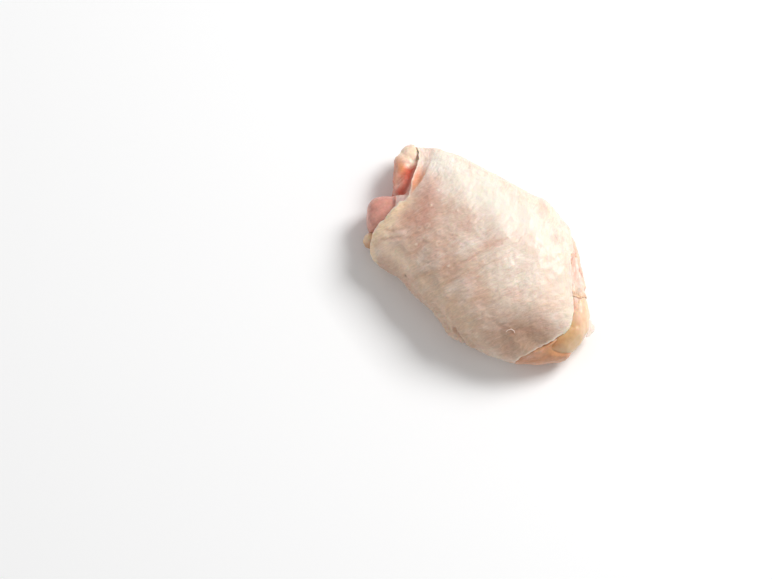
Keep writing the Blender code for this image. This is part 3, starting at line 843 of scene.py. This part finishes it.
blush = near_path(surface, BLUSH_PATH, BLUSH_WIDTH)
bright_crown = near_path(surface, CROWN_PATH, CROWN_WIDTH)
knee_rim = by_muscle * (1 - ramp(knee_distance, 2, 7))
tan_end = ramp(-surface[:, 0], 8, 36) * ramp(-surface[:, 1], -14, 4)
butter_sides = np.maximum(ramp(surface[:, 1], 30, 42), near_path(surface, BUTTER_PATH, BUTTER_WIDTH))
past_ridge = (ridge(angle_grid) - x_grid).ravel()
cuff = ramp(past_ridge, -0.5, 1) * ramp(angles, -4, 4)
cuff = cuff * (1 - ramp(angles, 60, 85))
low_cuff = cuff * (1 - ramp(surface[:, 1], 11, 23))
near_side_tone_and_shade = ramp(-surface[:, 1], -10, 27)
rim = 1 - ramp(edge, 0.3, 1.6)
skin_layers = [
    # Painted shade: the near side, turned from the light, is painted a darker dusty pink over its own
    # pinker tone
    (0.8 * near_side_tone_and_shade, SKIN_NEAR_SHADE_PINK),
    (0.5 * tan_end, SKIN_TAN),
    (0.35 * butter_sides, SKIN_BUTTER),
    (0.25 * near_spot(surface, FAINT_BLUSH, FAINT_RADIUS), SKIN_PINK),
    *((share * near_path(surface, path, width), colour) for share, colour, width, path in LOW_PATCHES),
    (0.38 * ramp(rosy, -0.1, 0.8) * (1 - 0.9 * bright_crown), SKIN_PINK),
    (0.35 * ramp(milky, 0, 0.7) * (1 - 0.7 * bright_crown), SKIN_MILKY),
    # Painted shade in the troughs of the fine creases, and painted highlight on their crests
    (0.2 * ramp(-creases, 0.1, 0.7) * (1 - bright_crown), SKIN_CREASE_SHADE),
    (0.15 * ramp(creases, 0.2, 0.7), SKIN_MILKY),
    (0.65 * blush * (0.8 + 0.5 * milky), SKIN_BLUSH),
    # Over the mottles: painted shade on the near shoulder and painted light in the knee end's corner
    *((share * near_path(surface, path, width), colour) for share, colour, width, path in LIGHT_AND_SHADE_PATCHES),
    # Painted shade along the skin's folds
    (0.35 * fold_shade_lines, SKIN_CREASE_SHADE),
    (0.85 * knee_rim, SKIN_YELLOW),
    (0.85 * cuff, CUFF_PINK),
    (0.9 * low_cuff, SKIN_ORANGE),
    (0.3 * pimples * pimple_share, RIM_AND_GLINT_CREAM),
    (0.25 * pimple_centres * pimple_share, SKIN_BROWNISH),
    # Painted highlight: the wet knobs are painted pale as glints
    (0.8 * glint_knobs, RIM_AND_GLINT_CREAM),
    (0.7 * rim, RIM_AND_GLINT_CREAM),
    (0.85 * near_spot(surface, SPOT_AT, SPOT_RADIUS), BLOOD_SPOT),
]
paint(mesh, SKIN_CREAM, [(both_sides(mask), colour) for mask, colour in skin_layers])
crispness = mesh.attributes.new(name="crispness", type="FLOAT", domain="POINT")
crispness.data.foreach_set("value", both_sides(1 - CROWN_CALM * bright_crown, 1))
flow = mesh.attributes.new(name="flow", type="FLOAT_VECTOR", domain="POINT")
flow.data.foreach_set("vector", np.concatenate([flow_points, 0 * all_points[len(surface):]]).ravel())

# Raw chicken skin, scalded and plucked: a wet sheet, cloudy like candle wax, so light goes
# in and spreads, with a greasy gleam broken up by creases finer than a millimetre
WRINKLE_WIDTH, WRINKLE_LENGTH, SKIN_GRAIN, GLEAM_SIZE = 0.75, 3.4, 0.9, 4
material, shader = new_material("raw chicken skin")
tissue = add_node(material, "Attribute", {}, attribute_name="tissue")
flow = add_node(material, "Attribute", {}, output="Vector", attribute_name="flow")
crisp = add_node(material, "Attribute", {}, output="Fac", attribute_name="crispness")
place = add_node(material, "TexCoord", {}, output="Object")
stretched = add_node(material, "Mapping", {
    "Vector": flow, "Scale": (1 / WRINKLE_WIDTH, 1 / WRINKLE_LENGTH, 1.0),
})
wrinkle = add_node(material, "TexNoise", {
    "Vector": stretched, "Scale": 1.0, "Detail": 4.0, "Roughness": 0.6, "Distortion": 0.6,
})
# Painted shade and highlight: the colour is darkened in the troughs of the wrinkles and grain and
# lightened on their crests, following the bumps
wrinkle_painted_shade = add_node(material, "MapRange", {
    "Value": wrinkle, "From Min": 0.32, "From Max": 0.62, "To Min": 0.88, "To Max": 1.05,
})
grain = add_node(material, "TexNoise", {
    "Vector": place, "Scale": 1 / (SKIN_GRAIN * MM), "Detail": 3.0, "Roughness": 0.6,
})
grain_painted_shade = add_node(material, "MapRange", {
    "Value": grain, "From Min": 0.35, "From Max": 0.65, "To Min": 0.95, "To Max": 1.03,
})
colour = tissue
for shade in (wrinkle_painted_shade, grain_painted_shade):
    colour = add_node(material, "Mix", {
        "Factor_Float": crisp, "A_Color": colour, "B_Color": shade,
    }, output=MIX_COLOUR, data_type="RGBA", blend_type="MULTIPLY")
bump = add_node(material, "Bump", {
    "Height": wrinkle, "Strength": crisp, "Distance": 0.3 * MM,
})
bump = add_node(material, "Bump", {
    "Height": grain, "Strength": 0.6, "Distance": 0.2 * MM, "Normal": bump,
})
gleam = add_node(material, "TexNoise", {
    "Vector": place, "Scale": 1 / (GLEAM_SIZE * MM), "Detail": 4.0, "Roughness": 0.65,
})
gleam = add_node(material, "MapRange", {
    "Value": gleam, "From Min": 0.3, "From Max": 0.7, "To Min": 0.3, "To Max": 0.44,
})
set_inputs(material, shader, {
    "Base Color": colour, "Roughness": gleam, "IOR": 1.4, "Normal": bump,
    "Subsurface Weight": 0.55, "Subsurface Radius": (1.0, 0.5, 0.3), "Subsurface Scale": 1.2 * MM,
    "Coat Weight": 0.25, "Coat Roughness": 0.18, "Coat IOR": 1.33,
})
mesh.materials.append(material)
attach(skin, "root")
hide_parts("skin")

# Membranes
# Thin, milky tissue that joined the skin to the flesh, torn where they were cut: a web and a
# strip between the muscle and the skin's rim, a gathered ruffle over the hip end, and a
# loose tip that sticks out of the roll. A wet thread of it lies on the skin.
WEB_ROWS = (
    ((-49.4, -1, 23.6), (-46.4, 0.4, 27), (-43.2, 1.4, 29.4)),
    ((-47.8, -3.4, 24.6), (-45.6, -2.4, 27), (-42.7, -2.4, 29.4)),
    ((-46.4, -6.4, 24.4), (-45, -5.8, 26.4), (-42.8, -6.9, 28.8)),
    ((-47, -12.4, 22.8), (-45.6, -12.3, 24.9), (-43.4, -12.6, 27.4)),
    ((-47.3, -18.1, 19), (-45.9, -18, 22.2), (-44.1, -18.4, 25)),
    ((-47.8, -23.4, 14), (-46.7, -23.3, 16.5), (-45.1, -23.1, 19)),
)
RUFFLE_ROWS = (
    ((37.4, 23.9, 27.6), (38.6, 24.8, 26.4), (39.6, 25.3, 24.4)),
    ((39.8, 18.9, 28.6), (42.4, 20.2, 26.6), (44.2, 21.1, 24.2)),
    ((43.2, 14.4, 28.5), (46.2, 16.4, 26), (48.4, 18.6, 21.8)),
    ((45.4, 10.6, 28.3), (48.9, 13, 26), (51.2, 16.4, 19.6)),
    ((47.9, 7.2, 27.4), (51.9, 10.7, 23.4), (53.4, 14, 17)),
)
TIP_ROWS = (
    ((58.7, 7, 14), (61.9, 3.9, 13.5), (63.9, -0.5, 12.5)),
    ((60, 7.9, 11), (62.8, 5.4, 10), (64.1, 1.3, 10)),
    ((61.1, 7.7, 9), (63.7, 6.7, 7.5), (64.1, 3.4, 8)),
)
THREAD_POINTS = (
    (34.5, -26, 29.6), (34.6, -25.2, 30.4), (35.3, -24.6, 30.6), (35.7, -23.7, 30.9),
    (36.7, -23.6, 30.4), (37.6, -23.3, 30.1), (38, -23.9, 29.5),
)
THREAD_RADIUS = 0.17
MEMBRANE_THICKNESS, MEMBRANE_STEPS = 0.35, 60
# A membrane lies at least this far above the flesh and fat below it, found from a height in
# metres, and is then eased this many times
MEMBRANE_LIFT, RAY_START, SETTLE_ROUNDS = 0.25, 0.1, 6
# From these shares of the way to its free edges, it lies close to what is below it, and thins
CLOSE_FROM, EDGE_LIFT = 0.55, 0.12
THIN_FROM, THIN_RAGGEDNESS = 0.55, 0.08
SCALLOP_LENGTH, SCALLOP_DEPTH = 2.2, 0.2
CRUMPLE_SIZE, CRUMPLE_HEIGHT = 2.4, 0.22
GATHER_WIDTH, GATHER_HEIGHT = 1.2, 0.2
# The pink flap at the top of the ruffle, and its white edge
FLAP, FLAP_RADIUS = ((38.6, 23.6, 27.6), (41.6, 19.6, 27.6), (44.8, 15.2, 27.6)), 2.6
FLAP_EDGE = ((38.9, 24.7, 26.4), (42.6, 20.6, 26.6), (45.6, 17.6, 26.3))
FLAP_EDGE_WIDTH, FLAP_EDGE_HEIGHT = 0.7, 0.5
MEMBRANE_PINK = "#f3cdc1"
MEMBRANE_CREAM = "#f6dfd0"
FLAP_PINK = "#eebfab"
MEMBRANE_WHITE = "#f8e8dd"

# Connective tissue is a wet film of milky strands: it veils what lies under it, more where
# the strands are dense, and gleams like wet paper
material, shader = new_material("milky poultry membrane")
tissue = add_node(material, "Attribute", {}, attribute_name="tissue")
thin = add_node(material, "Attribute", {}, output="Fac", attribute_name="thinness")
place = add_node(material, "TexCoord", {}, output="Object")
strands = add_node(material, "TexNoise", {
    "Vector": place, "Scale": 1 / (CRUMPLE_SIZE * MM), "Detail": 4.0, "Roughness": 0.6,
})
cover = add_node(material, "MapRange", {
    "Value": strands, "From Min": 0.35, "From Max": 0.6, "To Min": 0.82, "To Max": 1.0,
})
cover = add_node(material, "Math", {
    "Value": cover, "Value_001": thin,
}, operation="SUBTRACT")
bump = add_node(material, "Bump", {
    "Height": strands, "Strength": 0.4, "Distance": 0.2 * MM,
})
set_inputs(material, shader, {
    "Base Color": tissue, "Roughness": 0.3, "IOR": 1.38, "Alpha": cover, "Normal": bump,
    "Subsurface Weight": 0.4, "Subsurface Radius": (1.0, 0.6, 0.4), "Subsurface Scale": 0.6 * MM,
    "Coat Weight": 0.3, "Coat Roughness": 0.15, "Coat IOR": 1.33,
})


def sheet_points(rows, steps):
    """A smooth square grid of points through a few rows of points."""
    rows = np.array(rows)
    for axis in (0, 1):
        rows = np.moveaxis(rows, axis, 0)
        places = np.linspace(0, len(rows) - 1, steps)
        flat = rows.reshape(len(rows), -1)
        columns = [smooth_curve(list(enumerate(column)))(places) for column in flat.T]
        rows = np.stack(columns, axis=-1).reshape((steps,) + rows.shape[1:])
        rows = np.moveaxis(rows, 0, axis)
    return rows


depsgraph = bpy.context.evaluated_depsgraph_get()
grounds = [BVHTree.FromObject(below, depsgraph) for below in (meat, bpy.data.objects["hip_fat_lobe"])]


def laid_on_flesh(grid):
    """The grid of points, raised to lie just over the flesh and fat where it would be in them."""
    settled = grid.copy()
    for point in settled.reshape(-1, 3):
        start = (Vector(point) - Vector(PLAN_CENTRE)) * MM
        start.z = RAY_START
        for ground in grounds:
            place = ground.ray_cast(start, (0, 0, -1))[0]
            if place is not None:
                point[2] = max(point[2], place.z / MM + MEMBRANE_LIFT)
    heights = settled[..., 2]
    for _ in range(SETTLE_ROUNDS):
        around = heights[:-2, 1:-1] + heights[2:, 1:-1] + heights[1:-1, :-2] + heights[1:-1, 2:]
        heights[1:-1, 1:-1] = around / 4
    share = np.linspace(0, 1, MEMBRANE_STEPS)
    closeness = ramp(np.maximum(share[:, None], share), CLOSE_FROM, 1)
    for point, close in zip(settled.reshape(-1, 3), closeness.ravel()):
        start = (Vector(point) - Vector(PLAN_CENTRE)) * MM
        nearest = min((ground.find_nearest(start) for ground in grounds), key=lambda found: found[3])
        resting = np.array(nearest[0]) / MM + PLAN_CENTRE + EDGE_LIFT * np.array(nearest[1])
        point += close * (resting - point)
    return settled


# How strongly each is gathered, how far its free edge thins, and its colours
for name, rows, gathers, thinning, colour, edge_colour in (
    ("knee_membrane", WEB_ROWS, 0.2, 0.2, MEMBRANE_PINK, MEMBRANE_PINK),
    ("hip_membrane", RUFFLE_ROWS, 1, 0, MEMBRANE_CREAM, ROLL_PEACH),
    ("hip_membrane_tip", TIP_ROWS, 0, 0.3, MEMBRANE_CREAM, MEMBRANE_WHITE),
):
    grid = sheet_points(rows, MEMBRANE_STEPS)
    if gathers > 0:
        grid = laid_on_flesh(grid)
    run = np.linalg.norm(np.gradient(grid, axis=1), axis=-1).cumsum(axis=1)
    towards_edge = np.linspace(0, 1, MEMBRANE_STEPS)[:, None] + 0 * run
    downwards = np.gradient(grid, axis=0)
    downwards /= np.linalg.norm(downwards, axis=-1, keepdims=True)
    scallops = np.sin(2 * math.pi * run / SCALLOP_LENGTH) * towards_edge ** 4
    grid = grid + downwards * (gathers * SCALLOP_DEPTH * scallops)[..., None]
    outward = np.cross(np.gradient(grid, axis=1), np.gradient(grid, axis=0))
    outward /= np.linalg.norm(outward, axis=-1, keepdims=True)
    outward *= np.sign(outward[..., 2:].mean())
    points = grid.reshape(-1, 3)
    crumple = unevenness(points, CRUMPLE_SIZE, seed=41)
    gathered = (np.sin(2 * math.pi * run / GATHER_WIDTH) * towards_edge ** 2).ravel()
    flap = near_path(points, FLAP, FLAP_RADIUS)
    flap_edge = near_path(points, FLAP_EDGE, FLAP_EDGE_WIDTH)
    heights = CRUMPLE_HEIGHT * crumple + gathers * GATHER_HEIGHT * gathered + FLAP_EDGE_HEIGHT * flap_edge
    points = points + outward.reshape(-1, 3) * heights[:, None]
    mesh = bpy.data.meshes.new(name)
    index = np.arange(len(points)).reshape(MEMBRANE_STEPS, MEMBRANE_STEPS)
    mesh.from_pydata(points.tolist(), [], grid_faces(index, False).tolist())
    place_points(mesh, points)
    free_edge = ramp(towards_edge.ravel() + THIN_RAGGEDNESS * crumple, THIN_FROM, 1)
    paint(mesh, colour, (
        (0.5 * ramp(crumple, 0, 0.6), MEMBRANE_WHITE),
        (0.3 * gathers * ramp(-gathered, 0.1, 0.8), HIP_PINK),
        (free_edge, edge_colour),
        (0.9 * flap, FLAP_PINK),
        (flap_edge, MEMBRANE_CREAM),
    ))
    thinness = mesh.attributes.new(name="thinness", type="FLOAT", domain="POINT")
    thinness.data.foreach_set("value", thinning * free_edge)
    piece = add_piece(name, mesh)
    thickening = piece.modifiers.new("thickness", "SOLIDIFY")
    thickening.thickness = MEMBRANE_THICKNESS * MM
    thickening.offset = 0
    mesh = with_modifiers_applied(piece)
    mesh.materials.append(material)
    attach(piece, "root")

# The thread is round and drenched, so it shines more than the sheets do
curve = bpy.data.curves.new("skin_thread", "CURVE")
curve.dimensions = "3D"
curve.bevel_depth = THREAD_RADIUS * MM
curve.use_fill_caps = True
thread_line = curve.splines.new("NURBS")
thread_line.points.add(len(THREAD_POINTS) - 1)
for spline_point, place_mm in zip(thread_line.points, THREAD_POINTS):
    spline_point.co = (*((np.array(place_mm) - PLAN_CENTRE) * MM), 1)
thread_line.use_endpoint_u = True
material, shader = new_material("wet poultry membrane thread")
place = add_node(material, "TexCoord", {}, output="Object")
strands = add_node(material, "TexNoise", {"Vector": place, "Scale": 1 / MM, "Detail": 2.0})
colour = add_node(material, "Mix", {
    "Factor_Float": strands,
    "A_Color": (*linear(MEMBRANE_CREAM), 1), "B_Color": (*linear(MEMBRANE_WHITE), 1),
}, output=MIX_COLOUR, data_type="RGBA")
set_inputs(material, shader, {
    "Base Color": colour, "Roughness": 0.15, "IOR": 1.38, "Coat Weight": 0.5, "Coat Roughness": 0.08,
})
curve.materials.append(material)
thread = add_object("skin_thread", curve)
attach(thread, "root")

# Floor, lights and camera
# A plain white sweep, one large soft light high on the far side, and a long lens that
# looks down steeply from the near side.
FLOOR_SIZE = 6
FLOOR_WHITE = "#fdfdfd"
# Each light's name, direction, distance, size and power
LIGHTS = (
    ("key", (0.35, 0.93, 1.1), 1.6, 0.7, 22),
    ("fill", (-0.6, -0.8, 0.7), 1.8, 1.2, 3),
)
SURROUND = 0.4
AZIMUTH = math.radians(36.87)
ELEVATION = math.radians(72)
LENS, SENSOR, CLIP_END = 300, 36, 20
PHOTO_WIDTH, PHOTO_HEIGHT = 772, 579
# Millimetres of the thigh to a pixel of the photo
PIXEL = 0.48
# The point of the thigh that the photo shows at this pixel
LOOK_AT = (1.5, 1, 16)
SEEN_AT = (483.75, 258.2)

floor_mesh = bpy.data.meshes.new("floor")
bm = bmesh.new()
bmesh.ops.create_grid(bm, x_segments=1, y_segments=1, size=FLOOR_SIZE / 2)
bm.to_mesh(floor_mesh)
bm.free()
floor = add_piece("floor", floor_mesh)
# Matt paper scatters light evenly, so it shows soft shadows and no gleam
material, shader = new_material("matt white paper")
set_inputs(material, shader, {"Base Color": (*linear(FLOOR_WHITE), 1), "Roughness": 0.9})
floor_mesh.materials.append(material)

for name, start, distance, size, power in LIGHTS:
    light_data = bpy.data.lights.new(name, "AREA")
    light_data.shape = "SQUARE"
    light_data.size = size
    light_data.energy = power
    light = add_object(name, light_data)
    light.location = Vector(start).normalized() * distance
    light.rotation_euler = (-light.location).to_track_quat("-Z", "Y").to_euler()

world = bpy.data.worlds.new("studio")
world.use_nodes = True
background = world.node_tree.nodes["Background"]
background.inputs["Color"].default_value = (1, 1, 1, 1)
background.inputs["Strength"].default_value = SURROUND
bpy.context.scene.world = world
bpy.context.scene.view_settings.view_transform = "Standard"

look = Vector((
    -math.sin(AZIMUTH) * math.cos(ELEVATION),
    math.cos(AZIMUTH) * math.cos(ELEVATION),
    -math.sin(ELEVATION),
))
right = Vector((math.cos(AZIMUTH), math.sin(AZIMUTH), 0))
up = right.cross(look)
camera_data = bpy.data.cameras.new("camera")
camera_data.lens = LENS
camera_data.sensor_width = SENSOR
camera_data.clip_end = CLIP_END
camera = add_object("camera", camera_data)
target = (Vector(LOOK_AT) - Vector(PLAN_CENTRE)) * MM
target += right * (PHOTO_WIDTH / 2 - SEEN_AT[0]) * PIXEL * MM
target -= up * (PHOTO_HEIGHT / 2 - SEEN_AT[1]) * PIXEL * MM
camera.location = target - look * (PHOTO_WIDTH * PIXEL * MM * LENS / SENSOR)
camera.rotation_euler = look.to_track_quat("-Z", "Y").to_euler()
bpy.context.scene.camera = camera
